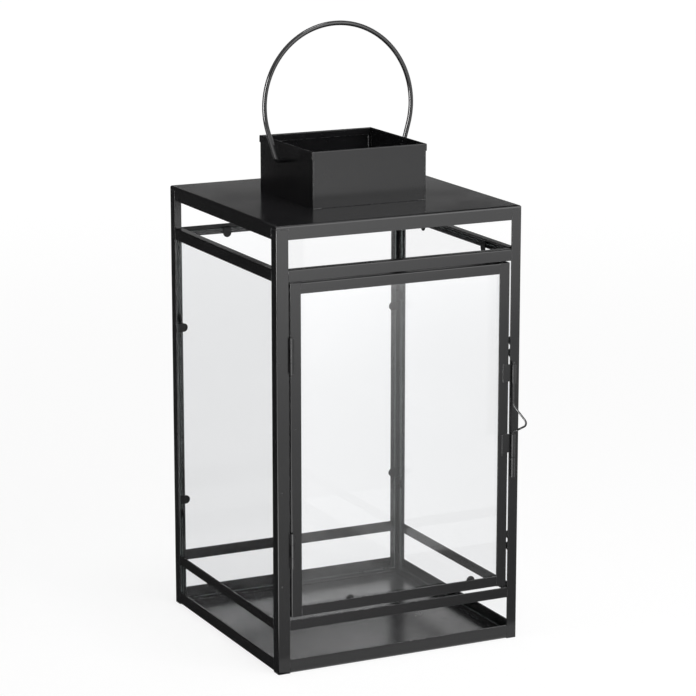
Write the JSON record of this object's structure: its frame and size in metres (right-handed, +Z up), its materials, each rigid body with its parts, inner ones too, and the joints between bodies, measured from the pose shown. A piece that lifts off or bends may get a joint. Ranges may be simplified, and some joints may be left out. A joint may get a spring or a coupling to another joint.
{
  "type": "candle lantern",
  "caption": "Square candle lantern with a black metal frame, clear glass panes, a hinged door with a drop bolt, a vented roof with a chimney collar and a ring handle.",
  "frame": {"origin": "centre of the body's footprint on the ground, at the underside of the floor plate", "axes": "+Z up, -Y towards the door, +X towards the door's latch side"},
  "size_m": [0.25, 0.2615, 0.5835],
  "materials": {
    "black_steel": "semi-gloss",
    "clear_glass": "clear"
  },
  "bodies": {
    "lantern": {"post_front_left": "black_steel", "post_front_right": "black_steel", "post_back_left": "black_steel", "post_back_right": "black_steel", "roof_cap": "black_steel", "upper_rail_front": "black_steel", "upper_rail_back": "black_steel", "upper_rail_left": "black_steel", "upper_rail_right": "black_steel", "lower_bar_front": "black_steel", "lower_bar_back": "black_steel", "lower_bar_left": "black_steel", "lower_bar_right": "black_steel", "base_rail_front": "black_steel", "base_rail_back": "black_steel", "base_rail_left": "black_steel", "base_rail_right": "black_steel", "floor_plate": "black_steel", "collar_front": "black_steel", "collar_back": "black_steel", "collar_left": "black_steel", "collar_right": "black_steel", "glass_back": "clear_glass", "glass_left": "clear_glass", "glass_right": "clear_glass", "clips_back": "black_steel", "clips_left": "black_steel", "clips_right": "black_steel", "hinge_low_frame_leaf": "black_steel", "hinge_high_frame_leaf": "black_steel", "hinge_low_pin": "black_steel", "hinge_high_pin": "black_steel", "bolt_keeper": "black_steel"},
    "door": {"door_stile_hinge": "black_steel", "door_stile_latch": "black_steel", "door_rail_top": "black_steel", "door_rail_bottom": "black_steel", "door_glass": "clear_glass", "door_clips": "black_steel", "hinge_low_door_leaf": "black_steel", "hinge_high_door_leaf": "black_steel", "bolt_guide_upper": "black_steel", "bolt_guide_lower": "black_steel"},
    "bolt": {"drop_bolt": "black_steel"},
    "ring": {"ring_handle": "black_steel"}
  },
  "joints": [
    {"name": "door_hinge", "type": "hinge", "parent": "lantern", "child": "door", "pos_m": [-0.111, -0.1248, 0.209], "axis": [0, 0, -1], "range_deg": [0, 170]},
    {"name": "bolt_lift", "type": "slide", "parent": "door", "child": "bolt", "axis": [0, 0, 1], "range_m": [0, 0.0178]},
    {"name": "ring_swing", "type": "hinge", "parent": "lantern", "child": "ring", "pos_m": [0, 0, 0.4568], "axis": [-1, 0, 0], "range_deg": [-109, 103.2]}
  ]
}
